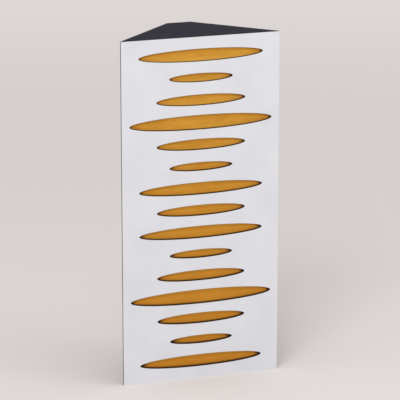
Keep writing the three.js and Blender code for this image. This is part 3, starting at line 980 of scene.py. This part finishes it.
@dataclass
class FrontBoard(SlotRow):
    """The slotted board: one sheet with the row of ellipses, every edge laser-cut."""

    arris: float = 0.15 * MM
    stain: float = 0.45 * MM
    points: int = 192
    corner_points: int = 8

    def _ellipse(self, number: int, grow: float, y: float) -> Array:
        """A slot's outline at a depth, grown by a distance along its own normal.

        x = a cos t and z = b sin t, and the normal runs along (cos t / a, sin t / b).

        Args:
            number: The slot, counted from the top.
            grow: How far the outline moves out.
            y: The depth.

        Returns:
            The outline's points.
        """
        t = turns(self.points)
        a, b = self.half_size(self.slots[number])
        normal = unit(np.stack([np.cos(t) / a, np.sin(t) / b], -1))
        x = a * np.cos(t) + grow * normal[:, 0]
        z = self.slot_middle(number) + b * np.sin(t) + grow * normal[:, 1]
        return np.stack([x, np.full_like(x, y), z], -1)

    def _band_edge(self, number: int, y: float) -> Array:
        """The outline of the band of board round a slot, with a point for each of the ellipse's.

        Between the corners' angles x is A cos t / cos c on the long sides, and on the short
        sides z runs evenly with sin t / sin c.

        Args:
            number: The slot, counted from the top.
            y: The depth.

        Returns:
            The outline's points.
        """
        t, middle = turns(self.points), self.slot_middle(number)
        top = self.high.z - self.arris if number == 0 else middle + self.pitch / 2
        bottom = self.low.z + self.arris if number == len(self.slots) - 1 else middle - self.pitch / 2
        corner = t[self.corner_points]
        half = self.high.x - self.arris
        x = np.clip(half * np.cos(t) / math.cos(corner), -half, half)
        lift = np.clip(np.sin(t) / math.sin(corner), -1, 1)
        z = middle + lift * np.where(lift > 0, top - middle, middle - bottom)
        return np.stack([x, np.full_like(x, y), z], -1)

    def _cut(self, face_char: float, arris_char: float) -> list[Triple]:
        """A cut edge from face to back, eased at both arrises.

        Args:
            face_char: How burnt its first line is, which lies on the face.
            arris_char: How burnt the line along the arris is.

        Returns:
            The inset, the depth and the char of each line.
        """
        front, back, r = self.low.y, self.high.y, self.arris
        eased = r * (1 - math.sqrt(0.5))
        lines = [(r, front, face_char), (eased, front + eased, arris_char), (0.0, front + r, 1.0)]
        lines += [(0.0, (front + back) / 2, 1.0), (0.0, back - r, 1.0)]
        return [*lines, (eased, back - eased, 1.0), (r, back, 0.5)]

    def _band(self, surface: Surface, number: int) -> None:
        """Adds one band: front face, arris, slot wall and back face, as rings from edge to edge.

        Args:
            surface: What the band is added to.
            number: The slot, counted from the top.
        """
        front, back = self.low.y, self.high.y
        rings = [(self.stain, front, 0.0), (self.stain * 0.6, front, 0.05)]
        rings += [*self._cut(0.25, 1.0), (self.stain, back, 0.2)]
        walls = [self._ellipse(number, grow, y) for grow, y, _ in rings]
        points = np.stack([self._band_edge(number, front), *walls, self._band_edge(number, back)])
        surface.add_grid(points, char=[0.0, *(char for _, _, char in rings), 0.0], loop=True)

    def _perimeter(self, surface: Surface) -> None:
        """Adds the outer edge: the bands' own border points carried round an arris, a wall and an arris.

        Args:
            surface: What the edge is added to.
        """
        corner, half = self.corner_points, self.points // 2
        borders = [self._band_edge(number, self.low.y) for number in range(len(self.slots))]
        side = np.arange(-corner, corner + 1)
        right = np.concatenate([edge[side[::-1]] for edge in borders])
        left = np.concatenate([edge[half + side] for edge in borders])[::-1]
        over = borders[0][corner:half - corner + 1][::-1]
        under = borders[-1][half + corner:self.points - corner + 1][::-1]
        loop = np.concatenate([over, right, under, left])
        loop = loop[np.linalg.norm(loop - np.roll(loop, 1, 0), axis=1) > MERGED]
        middle, wide, tall = (self.low.z + self.high.z) / 2, self.high.x, self.height / 2
        lines, rows = self._cut(0.0, 0.5), []
        for inset, y, _ in lines:
            x = loop[:, 0] * (wide - inset) / (wide - self.arris)
            z = middle + (loop[:, 2] - middle) * (tall - inset) / (tall - self.arris)
            rows.append(np.stack([x, np.full_like(x, y), z], -1))
        surface.add_grid(np.stack(rows), char=[char for _, _, char in lines], loop=True)

    def build(self) -> bpy.types.Object:
        """Makes the board.

        Returns:
            The piece.
        """
        surface = Surface()
        for number in range(len(self.slots)):
            self._band(surface, number)
        self._perimeter(surface)
        lacquer, cut = LacqueredBoard(self.high.y).material(), CharredCut().material()
        piece = surface.build("slotted_board", lacquer, cut, sharp=20.5)
        return report(piece, "board", "front_board")


@dataclass
class FeltFacing:
    """The amber felt behind the slots, laid over the frame and a little uneven."""

    step: float = 5 * MM
    unevenness: float = 0.22 * MM
    wave: float = 45 * MM
    fine_wave: float = 17 * MM

    def build(self) -> bpy.types.Object:
        """Makes the felt: a flat sheet whose front rises and falls by a ripple and half a finer one.

        Returns:
            The piece.
        """
        low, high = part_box("felt_facing")
        across = np.linspace(low.x, high.x, round((high.x - low.x) / self.step))
        upward = np.linspace(low.z, high.z, round((high.z - low.z) / self.step))
        z, x = np.meshgrid(upward, across, indexing="ij")
        rise = self.unevenness * (ripple(x, z, self.wave) + 0.5 * ripple(z, x, self.fine_wave)) / 1.5
        front = np.stack([x, low.y + self.unevenness - rise, z], -1)
        back = np.stack([x, np.full_like(x, high.y), z], -1)
        surface = sheet_surface(front, back, np.stack([x, z], -1))
        piece = surface.build("amber_felt_sheet", AmberFelt(SlotRow()).material())
        return report(piece, "felt", "felt_facing")


@dataclass
class SideWrap:
    """One sheet of charcoal cloth, drawn from the fold behind the board round both flanks."""

    plan: Plan
    cloth: bpy.types.Material
    front_radius: float = 1.25 * MM
    rear_radius: float = 2.5 * MM
    fill_out: float = 0.9 * MM
    calm: float = 50 * MM
    clearance: float = 0.3 * MM
    rim: float = 0.4 * MM
    step: float = 8 * MM
    row_step: float = 9 * MM
    arc_points: int = 8

    def _path(self) -> tuple[Array, Array, Array]:
        """The sheet's path seen from above: straight runs, with an arc at each corner.

        Returns:
            Outer points, the outward normal at each, and how free the cloth is to fill out there,
            which is the sine of the share of a flank's length to the power 0.7.
        """
        plan = self.plan
        fold_edge = plan.felt_half + self.clearance + self.rim
        tip, rear_half = plan.half_at(plan.cloth_front), plan.half_at(plan.rear)
        right = [(fold_edge, plan.cloth_front), (tip, plan.cloth_front), (rear_half, plan.rear)]
        corners = np.array([*right, *((-x, y) for x, y in reversed(right))])
        radii = [0, self.front_radius, self.rear_radius, self.rear_radius, self.front_radius, 0]
        flanks = (2, 4)
        points, normals, free = [], [], []
        start = corners[0]
        for i in range(1, len(corners)):
            last = i == len(corners) - 1
            along = unit(corners[i] - corners[i - 1])
            onward = along if last else unit(corners[i + 1] - corners[i])
            normal, next_normal = (np.array([way[1], -way[0]]) for way in (along, onward))
            turn = 0.0 if last else math.acos(along @ onward)
            stop = corners[i] - along * radii[i] * math.tan(turn / 2)
            count = max(3, round(np.linalg.norm(stop - start) / self.step))
            share = np.linspace(0, 1, count)[:, None]
            points.append(start + (stop - start) * share)
            normals.append(np.repeat(normal[None], count, 0))
            free.append(np.sin(math.pi * share[:, 0]) ** 0.7 * (i in flanks))
            if last:
                break
            angle = np.linspace(0, turn, self.arc_points + 2)[1:-1, None]
            out = normal * np.cos(angle) + along * np.sin(angle)
            centre = stop - normal * radii[i]
            points.append(centre + out * radii[i])
            normals.append(out)
            free.append(np.zeros(len(angle)))
            start = centre + next_normal * radii[i]
        return np.concatenate(points), np.concatenate(normals), np.concatenate(free)

    def _fill(self, z: Array, path: Array, free: Array) -> Array:
        """How far the wool pushes the cloth out.

        The push goes with the sine of the share of a bay's height to the power 0.8, with the path's own
        freedom, and with the square of the distance from the nearest block as a share of the calm one.

        Args:
            z: The heights.
            path: The path's points.
            free: How free the cloth is at each point of the path.

        Returns:
            The push, with a row for each height and a column for each point.
        """
        edges = [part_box("bottom_plate")[1].z]
        for name in ("former_1", "former_2"):
            edges += [corner.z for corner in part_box(name)]
        edges.append(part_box("top_plate")[0].z)
        swell = np.zeros_like(z)
        for low, high in zip(edges[::2], edges[1::2]):
            share = np.clip((z - low) / (high - low), 0, 1)
            swell = np.maximum(swell, np.sin(math.pi * share) ** 0.8)
        near = np.ones((len(z), len(path)))
        for name in ("left_hanger_block", "right_hanger_block", "left_pad_block", "right_pad_block"):
            low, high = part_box(name)
            away_x = np.maximum(np.maximum(low.x - path[:, 0], path[:, 0] - high.x), 0)
            away_z = np.maximum(np.maximum(low.z - z, z - high.z), 0)
            away = np.hypot(away_x[None, :], away_z[:, None])
            near = np.minimum(near, np.clip(away / self.calm, 0, 1) ** 2)
        return self.fill_out * swell[:, None] * free[None, :] * near

    def build(self) -> bpy.types.Object:
        """Makes the wrap: the path carried up from the bottom plate to the top.

        Returns:
            The piece.
        """
        low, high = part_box("side_wrap")
        path, normals, free = self._path()
        z = np.linspace(low.z + self.rim, high.z - self.rim, round((high.z - low.z) / self.row_step))
        outer = np.empty((len(z), len(path), 3))
        outer[..., :2] = path + normals * self._fill(z, path, free)[..., None]
        outer[..., 2] = z[:, None]
        inner = outer.copy()
        inner[..., :2] -= normals * self.plan.cloth
        run = run_along(path)
        uv = np.stack(np.broadcast_arrays(run[None, :], z[:, None]), -1)
        piece = sheet_surface(outer, inner, uv, self.rim).build("cloth_side_wrap", self.cloth)
        float(run[-1]) + 2 * self.rim
        return report(piece, "cloth", "side_wrap")


@dataclass
class EndCover:
    """A sheet over one end of the frame, with its front margin folded in behind the board."""

    plan: Plan
    node: str
    name: str
    slot: str
    finish: bpy.types.Material
    up: int
    lift: float = 0.0
    rim: float = 0.3 * MM
    bend: float = 0.2 * MM
    notch: int = 60
    rows: int = 40
    columns: int = 61

    def _path(self) -> tuple[Array, Array, Array]:
        """The sheet's middle line seen from the side: forward from the rear, round a bend, along the fold.

        Past the notch, an angle in the bend, the sheet is only as wide as the felt, and clears the wrap.
        The bend has a point every 10 degrees up to the notch, and then every 7 from just past it.

        Returns:
            Points (y, z), the outward normal at each, and half the sheet's width there.
        """
        low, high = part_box(self.node)
        half_thick = (self.plan.cloth - self.lift) / 2
        radius = self.bend + half_thick
        level = (high.z if self.up > 0 else low.z + self.lift) - self.up * half_thick
        front = self.plan.cloth_front + half_thick
        tip = low.z + self.rim if self.up > 0 else high.z - self.rim
        turn = np.radians([*range(0, self.notch + 1, 10), *range(self.notch + 2, 91, 7)])
        rear = np.linspace(self.plan.rear - self.rim, front + radius, self.rows + 1)[:-1]
        fold = np.linspace(level - self.up * radius, tip, 4)[1:]
        y = np.concatenate([rear, front + radius * (1 - np.sin(turn)), np.full(len(fold), front)])
        z = np.concatenate([np.full(len(rear), level), level - self.up * radius * (1 - np.cos(turn)), fold])
        angle = np.concatenate([np.zeros(len(rear)), turn, np.full(len(fold), math.pi / 2)])
        normal = np.stack([-np.sin(angle), self.up * np.cos(angle)], -1)
        wide = self.plan.half_at(y) - self.rim * math.sqrt(2)
        narrow = self.plan.felt_half - self.rim
        return np.stack([y, z], -1), normal, np.where(angle > math.radians(self.notch + 1), narrow, wide)

    def build(self) -> bpy.types.Object:
        """Makes the cover: the middle line carried across a width that follows the flanks.

        Returns:
            The piece.
        """
        path, normal, half = self._path()
        outer, inner, uv = carried_sheet(path, normal, half, self.plan.cloth - self.lift, self.columns)
        piece = sheet_surface(outer, inner, uv, self.rim).build(self.name, self.finish)
        run, width = run_along(path), 2 * (half + self.rim)
        area = (width[1:] + width[:-1]) @ np.diff(run) / 2 + (width[0] + width[-1]) * self.rim
        float(run[-1]) + 2 * self.rim
        "top_plate" if self.up > 0 else "bottom_plate"
        return report(piece, self.slot, self.node)


@dataclass
class Staples:
    """Wire staples that pin the lining to the bottom plate, set back from its edge."""

    plan: Plan
    spacing: float = 42 * MM
    setback: float = 7 * MM
    crown: float = 10.5 * MM
    wire: float = 0.55 * MM
    flatness: float = 0.45
    stand: float = 0.3 * MM
    dip: float = 0.5 * MM
    facets: int = 8

    def _places(self) -> tuple[Array, Array]:
        """Spaces the staples evenly along each side of an outline set back from the lining's edge.

        Returns:
            The middle of each staple, and the way that it lies.
        """
        plan = self.plan
        front, rear = plan.cloth_front + self.setback, plan.rear - self.setback
        half_front, half_rear = (plan.half_at(y) - self.setback * math.sqrt(2) for y in (front, rear))
        corners = np.array([(half_front, front), (half_rear, rear), (-half_rear, rear), (-half_front, front)])
        middles, ways = [], []
        for a, b in zip(corners, np.roll(corners, -1, 0)):
            count = max(1, int(np.linalg.norm(b - a) / self.spacing))
            share = (np.arange(count)[:, None] + 0.5) / count
            middles.append(a + (b - a) * share)
            ways.append(np.repeat(unit(b - a)[None], count, 0))
        return np.concatenate(middles), np.concatenate(ways)

    def build(self) -> bpy.types.Object:
        """Makes the staples: a flattened round wire along a crown that dips at both ends.

        With s from -1 to 1 along the crown, the wire's radius goes with the root of 1 - |s|^16, and the
        dip with the square of |s| past 0.8.

        Returns:
            The piece.
        """
        low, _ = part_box("bottom_cover")
        share = np.linspace(-1, 1, 13)
        along = share * self.crown / 2
        dip = np.clip((np.abs(share) - 0.8) / 0.2, 0, 1) ** 2 * self.dip
        swell = np.sqrt(np.clip(1 - np.abs(share) ** 16, 0, 1))[:, None]
        angle = turns(self.facets)
        wide, tall = swell * self.wire * np.cos(angle), swell * self.wire * self.flatness * np.sin(angle)
        surface = Surface()
        for middle, way in zip(*self._places()):
            points = np.empty((len(share), self.facets, 3))
            side = np.array([-way[1], way[0]])
            points[..., :2] = middle + along[:, None, None] * way + wide[..., None] * side
            points[..., 2] = low.z + self.stand + dip[:, None] + tall
            surface.add_grid(points, loop=True)
        piece = surface.build("lining_staples", ZINC.material())
        return report(piece, "steel")


@dataclass
class HangingClip:
    """A bent aluminium clip: its leg lies on the flank, and its tongue stands off it and points down."""

    plan: Plan
    side: Side
    finish: bpy.types.Material
    sheet: float = 2 * MM
    gap: float = 2.6 * MM
    width: float = 60 * MM
    leg: float = 30 * MM
    bend: float = 1.6 * MM
    corner: float = 2.5 * MM
    rim: float = 0.3 * MM
    columns: int = 25

    def _path(self) -> Array:
        """The sheet's middle line seen from its end, from the leg's top to the tongue's tip.

        At each bend it follows (1 - t)^2 a + 2 t (1 - t) k + t^2 b, with k the sharp corner. Extra points
        stand near both ends, where the sheet's own corners are rounded.

        Returns:
            Points, each with its distance out of the flank and its height.
        """
        low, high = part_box(f"{self.side.word}_hanging_clip")
        inner = self.plan.seat + self.sheet / 2
        outer = inner + self.gap
        bend_top = high.z - self.leg
        start, stop = high.z - self.rim, low.z + self.rim
        knots = np.array([(inner, start), (inner, bend_top), (outer, bend_top - self.gap), (outer, stop)])
        t = np.linspace(0, 1, 7)[:, None]
        points = [knots[:1]]
        for before, knot, after in zip(knots, knots[1:], knots[2:]):
            a, b = knot + unit(before - knot) * self.bend, knot + unit(after - knot) * self.bend
            points.append((1 - t) ** 2 * a + 2 * t * (1 - t) * knot + t**2 * b)
        path = np.concatenate([*points, knots[-1:]])
        run = run_along(path)
        near = (self.corner - self.rim) * (1 - np.cos(np.linspace(0, math.pi / 2, 7)))
        stops = np.unique(np.concatenate([run, near, run[-1] - near]))
        return np.stack([np.interp(stops, run, part) for part in path.T], -1)

    def build(self) -> bpy.types.Object:
        """Makes the clip: the path carried across the width, which is less where a corner rounds it off.

        Returns:
            The piece.
        """
        path = self._path()
        run = run_along(path)
        slope = unit(np.gradient(path, run, axis=0))
        normal = np.stack([-slope[:, 1], slope[:, 0]], -1)
        corner = self.corner - self.rim
        cut = np.clip(corner - np.minimum(run, run[-1] - run), 0, corner)
        half = self.width / 2 - self.rim - (corner - np.sqrt(np.clip(corner**2 - cut**2, 0, None)))
        outer, inner, uv = carried_sheet(path, normal, half, self.sheet, self.columns)
        faces = [self.plan.on_flank(self.side, *np.moveaxis(face, -1, 0)) for face in (outer, inner)]
        surface = sheet_surface(*faces, uv, self.rim, square=0.5)
        piece = surface.build(f"bent_clip_{self.side.word}", self.finish)
        return report(piece, "aluminium", f"{self.side.word}_hanging_clip")


@dataclass
class PanScrew:
    """A pan-head screw with a cross recess, driven through a clip's leg."""

    plan: Plan
    node: str
    finish: bpy.types.Material
    sheet: float = HangingClip.sheet
    head: float = 4 * MM
    head_height: float = 2 * MM
    shank: float = 2 * MM
    core: float = 1.9 * MM
    neck: float = 0.5 * MM
    point: float = 4 * MM
    length: float = 20 * MM
    recess_depth: float = 1.2 * MM
    recess_reach: float = 2.4 * MM
    recess_width: float = 0.5 * MM
    recess_ease: float = 0.2 * MM
    recess_slope: float = 1.1 * MM
    cells: int = 32

    def _head(self) -> Array:
        """The head's top, as a square grid pressed into a disc.

        The grid's point (a, b) with the larger part a goes to radius a and angle (pi / 4)(b / a), and
        alike with a and b changed over. The dome falls with the fourth power of the radius, and the
        cross is sunk where the smaller of |x| and |y| is under the recess's width.

        Returns:
            Points with x and y across the head, and z counted down from its top.
        """
        even = np.linspace(-1, 1, self.cells + 1)
        close = even * np.abs(even) ** 0.6
        b, a = np.meshgrid(close, close)
        wide = np.abs(a) >= np.abs(b)
        larger, smaller = np.where(wide, a, b), np.where(wide, b, a)
        turn = math.pi / 4 * smaller / np.where(larger == 0, 1, larger)
        main, cross = larger * np.cos(turn), larger * np.sin(turn)
        x, y = self.head * np.where(wide, main, cross), self.head * np.where(wide, cross, main)
        near, far = np.minimum(np.abs(x), np.abs(y)), np.maximum(np.abs(x), np.abs(y))
        wing = np.clip((self.recess_width - near) / self.recess_ease + 0.5, 0, 1)
        reach = np.clip((self.recess_reach - far) / self.recess_slope, 0, 1)
        dome = self.head_height * 0.5 * (np.hypot(x, y) / self.head) ** 4
        return np.stack([x, y, dome + self.recess_depth * wing * reach], -1)

    def _body(self, rim: Array) -> Array:
        """Rings from the rim of the head down its side, the shank and the point.

        Args:
            rim: The head's outermost points, in order round it.

        Returns:
            Rings by points, with z counted down from the head's top.
        """
        way, under, tip = unit(rim[:, :2]), self.head_height, self.head_height + self.length
        steps = [(self.head, rim[0, 2]), (self.head, under), (self.shank, under)]
        steps += [(self.core, under + self.neck), (self.core, tip - self.point), (0.0, tip)]
        rings = [np.column_stack([way * radius, np.full(len(way), depth)]) for radius, depth in steps]
        return np.stack(rings)

    def build(self) -> bpy.types.Object:
        """Makes the screw: the head's top, then the rings below its rim.

        Returns:
            The piece.
        """
        low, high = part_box(self.node)
        side = Side.LEFT if low.x < 0 else Side.RIGHT
        x, y, z = ((a + b) / 2 for a, b in zip(low, high))
        origin_x, origin_y, _ = self.plan.on_flank(side, 0.0, 0.0, 0.0)
        along = (side.value * (origin_x - x) + y - origin_y) * math.sqrt(0.5)
        face = 2 * self.plan.seat + self.sheet + self.head_height
        head = self._head()
        surface = Surface()
        for grid, loop in ((head, False), (self._body(border(head)), True)):
            across, up, down = np.moveaxis(grid, -1, 0)
            surface.add_grid(self.plan.on_flank(side, along + across, face - down, z + up), loop=loop)
        piece = surface.build(self.node.replace("clip_screw", "pan_screw"), self.finish)
        return report(piece, "steel", self.node)


@dataclass
class WallPad:
    """A moulded rubber disc with a rounded rim and a shallow dished face."""

    plan: Plan
    side: Side
    finish: bpy.types.Material
    radius: float = 15 * MM
    thick: float = 4.6 * MM
    edge: float = 1.2 * MM
    dish: float = 0.35 * MM
    dished: Pair = (0.62, 0.72)
    chamfer: float = 0.3 * MM
    facets: int = 96

    def build(self) -> bpy.types.Object:
        """Makes the pad: a profile of radius and thickness turned about the flank's normal.

        Returns:
            The piece.
        """
        low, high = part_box(f"{self.side.word}_wall_pad")
        foot, rim = self.plan.seat, self.radius - self.edge
        face = foot + self.thick
        inner, outer = (rim * share for share in self.dished)
        arc = [
            (rim + self.edge * math.sin(a), face - self.edge * (1 - math.cos(a)))
            for a in np.linspace(0, math.pi / 2, 7)
        ]
        profile = [(0, face - self.dish), (inner, face - self.dish), (outer, face), *arc]
        profile += [(self.radius, foot + self.chamfer), (self.radius - self.chamfer, foot), (0, foot)]
        radius, out = (np.array(values)[:, None] for values in zip(*profile))
        angle = turns(self.facets)
        height = (low.z + high.z) / 2 + radius * np.sin(angle)
        surface = Surface()
        surface.add_grid(self.plan.on_flank(self.side, radius * np.cos(angle), out, height), loop=True)
        piece = surface.build(f"rubber_pad_{self.side.word}", self.finish)
        return report(piece, "rubber", f"{self.side.word}_wall_pad")


@dataclass
class WoolFill:
    """The wedges of mineral wool, each matted and a little rough outside."""

    voxel: float = 7 * MM
    shaggy: float = 1.1 * MM
    tuft: float = 16 * MM
    inset: float = 1.3 * MM

    def _wedge(self, node: str, finish: bpy.types.Material) -> bpy.types.Object:
        """Makes one wedge from its CAD solid, remeshed evenly and roughened along its normals.

        Args:
            node: The CAD node.
            finish: The wedge's material.

        Returns:
            The piece.
        """
        piece = new_object(node.replace("wool_wedge", "wool_batt"), frame["nodes"][node].data.copy())
        close_up(piece.data)
        remesh = piece.modifiers.new("even_mesh", "REMESH")
        remesh.mode = "VOXEL"
        remesh.voxel_size = self.voxel
        graph = bpy.context.evaluated_depsgraph_get()
        mesh = bpy.data.meshes.new_from_object(piece.evaluated_get(graph))
        piece.modifiers.clear()
        piece.data = mesh
        points, normals = np.empty((2, len(mesh.vertices), 3))
        mesh.vertices.foreach_get("co", points.ravel())
        mesh.vertex_normals.foreach_get("vector", normals.ravel())
        rough = ripple(points[:, 0] + points[:, 1], points[:, 2] * 2.5, self.tuft)
        points += normals * (self.shaggy * rough - self.inset)[:, None]
        mesh.vertices.foreach_set("co", points.ravel())
        mesh.shade_smooth()
        mesh.materials.clear()
        mesh.materials.append(finish)
        return piece

    def build(self) -> None:
        finish = MineralWool().material()
        for node in sorted(name for name in frame["nodes"] if name.startswith("wool_wedge")):
            piece = self._wedge(node, finish)
            report(piece, "wool", node)


def dress_frame() -> None:
    """Gives each carried-over piece of the frame its wood or metal."""
    finishes = {"plywood": PLYWOOD.material(), "softwood": SOFTWOOD.material(), "steel": ZINC.material()}
    slots = {row["node"]: row["material_slot"] for row in frame["record"]["subparts"]}
    for name, piece in frame["nodes"].items():
        if not piece.hide_render and slots[name] in finishes:
            piece.data.materials.clear()
            piece.data.materials.append(finishes[slots[name]])
            LOG.info("%s keeps its shape and takes the %s finish", name, slots[name])


@dataclass
class Studio:
    """A pale floor, soft light from above the viewer's left, and the camera."""

    backdrop: Colour = (0.765, 0.715, 0.703)
    floor_paint: Colour = (0.80, 0.757, 0.743)
    floor_bounce: Colour = (0.62, 0.60, 0.59)
    floor_reach: float = 60.0
    fade: Pair = (1.6, 7.0)
    daylight: Colour = (1, 0.995, 0.985)
    sky: float = 0.695
    lit_point: Triple = (0, 0, 0.5)
    aim: Triple = (-0.0004, -0.0932, 0.5272)
    yaw: float = math.radians(18.30)
    pitch: float = math.radians(15.875)
    distance: float = 6.950
    lens: float = 221.43

    def _floor(self) -> None:
        """Lays the floor under the trap, which fades into the backdrop."""
        reach = np.linspace(-self.floor_reach, self.floor_reach, 13)
        y, x = np.meshgrid(reach, reach, indexing="ij")
        surface = Surface()
        surface.add_grid(np.stack([x, y, np.zeros_like(x)], -1))
        s = Shader("pale_floor")
        seen = s.seen()
        paint = s.mix(seen, self.floor_bounce, self.floor_paint)
        diffuse = s.add("ShaderNodeBsdfDiffuse", inputs={"Color": paint})
        glow = s.add("ShaderNodeEmission", inputs={"Color": (*self.backdrop, 1)})
        across, along, _ = s.parts(s.place())
        far = across.length_with(along).between(*self.fade)
        blend = s.add("ShaderNodeMixShader", inputs={0: far * seen, 1: diffuse, 2: glow})
        surface.build("floor", s.close(blend))

    @staticmethod
    def _stand(name: str, data: bpy.types.ID, place: Vector, way: Vector) -> bpy.types.Object:
        """Stands a lamp or camera at a place, turned along a way.

        Args:
            name: The object's name.
            data: The lamp or camera.
            place: Where it stands.
            way: The way that it looks.

        Returns:
            The object.
        """
        item = new_object(name, data)
        item.location = place
        item.rotation_euler = way.to_track_quat("-Z", "Y").to_euler()
        return item

    def _lights(self) -> None:
        """Hangs one large lamp above the left, a weaker one at the right, and sets the sky."""
        s = Shader("studio", world=True)
        sky = s.add("ShaderNodeBackground", inputs={"Color": (*self.daylight, 1), "Strength": self.sky})
        backdrop = s.add("ShaderNodeBackground", inputs={"Color": (*self.backdrop, 1)})
        blend = s.add("ShaderNodeMixShader", inputs={0: s.seen(), 1: sky, 2: backdrop})
        bpy.context.scene.world = s.close(blend)
        lamps = {
            "key": {"place": (-2.6, -4.2, 4.6), "size": 3.0, "power": 145},
            "fill": {"place": (3.4, -3.0, 2.2), "size": 2.5, "power": 31},
        }
        for name, lamp in lamps.items():
            data = bpy.data.lights.new(name, "AREA")
            data.size = lamp["size"]
            data.energy = lamp["power"]
            place = Vector(lamp["place"])
            self._stand(name, data, place, Vector(self.lit_point) - place)

    def _camera(self) -> None:
        """Stands the camera at the viewing angle, with no shift."""
        data = bpy.data.cameras.new("viewer")
        data.lens = self.lens
        data.sensor_width = 36
        data.clip_end = 200
        level = math.cos(self.pitch)
        back = Vector((-math.sin(self.yaw) * level, -math.cos(self.yaw) * level, math.sin(self.pitch)))
        place = Vector(self.aim) + back * self.distance
        bpy.context.scene.camera = self._stand("viewer", data, place, -back)

    def build(self) -> None:
        """Sets up camera, floor, lights and view."""
        self._camera()
        self._floor()
        self._lights()
        bpy.context.scene.view_settings.view_transform = "Standard"


def main() -> None:
    """Builds the studio, then the trap from its face to its wool."""
    logging.basicConfig(level=logging.INFO, format="%(message)s")
    Studio().build()
    plan = Plan()
    cloth = CharcoalCloth().material()
    FrontBoard().build()
    FeltFacing().build()
    SideWrap(plan, cloth).build()
    EndCover(plan, "top_cover", "cloth_top_cover", "cloth", cloth, up=1).build()
    lining = BlackLining().material()
    EndCover(plan, "bottom_cover", "lining_bottom_cover", "lining", lining, up=-1, lift=0.4 * MM).build()
    Staples(plan).build()
    aluminium, zinc, rubber = MILL_ALUMINIUM.material(), ZINC.material(), BlackRubber().material()
    for side in Side:
        HangingClip(plan, side, aluminium).build()
        WallPad(plan, side, rubber).build()
    for node in sorted(name for name in frame["nodes"] if name.startswith("clip_screw")):
        PanScrew(plan, node, zinc).build()
    WoolFill().build()
    dress_frame()
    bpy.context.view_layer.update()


if __name__ == "__main__":
    main()
